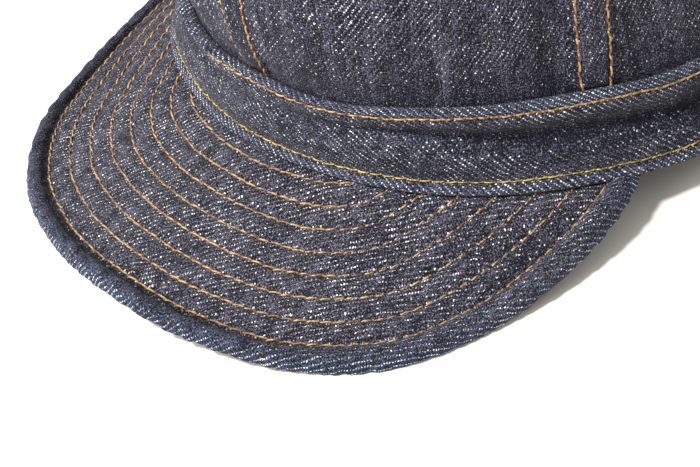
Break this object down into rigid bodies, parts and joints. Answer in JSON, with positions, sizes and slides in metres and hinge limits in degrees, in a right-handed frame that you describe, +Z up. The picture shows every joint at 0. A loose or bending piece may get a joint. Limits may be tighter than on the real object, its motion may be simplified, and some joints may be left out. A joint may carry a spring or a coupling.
{
  "type": "work cap",
  "caption": "Soft denim cap: a stitched peak with a rolled rim, a folded creased band and a panelled crown with felled seams, resting as it would on a table.",
  "frame": {"origin": "centre of the cap's bounding box, on the surface that it rests on", "axes": "+Z up, -Y the way the peak points, +X to the wearer's left"},
  "size_m": [0.1786, 0.2483, 0.119],
  "materials": {
    "peak_denim": "matte indigo twill",
    "band_denim": "matte indigo twill",
    "crown_denim": "matte indigo twill",
    "facing_denim": "matte indigo twill"
  },
  "bodies": {
    "root": {"peak_top": "peak_denim", "peak_under": "facing_denim", "band": "band_denim", "crown_panel_1": "crown_denim", "crown_panel_2": "crown_denim", "crown_panel_3": "crown_denim", "crown_panel_4": "crown_denim", "crown_panel_5": "crown_denim", "crown_panel_6": "crown_denim"}
  },
  "joints": []
}
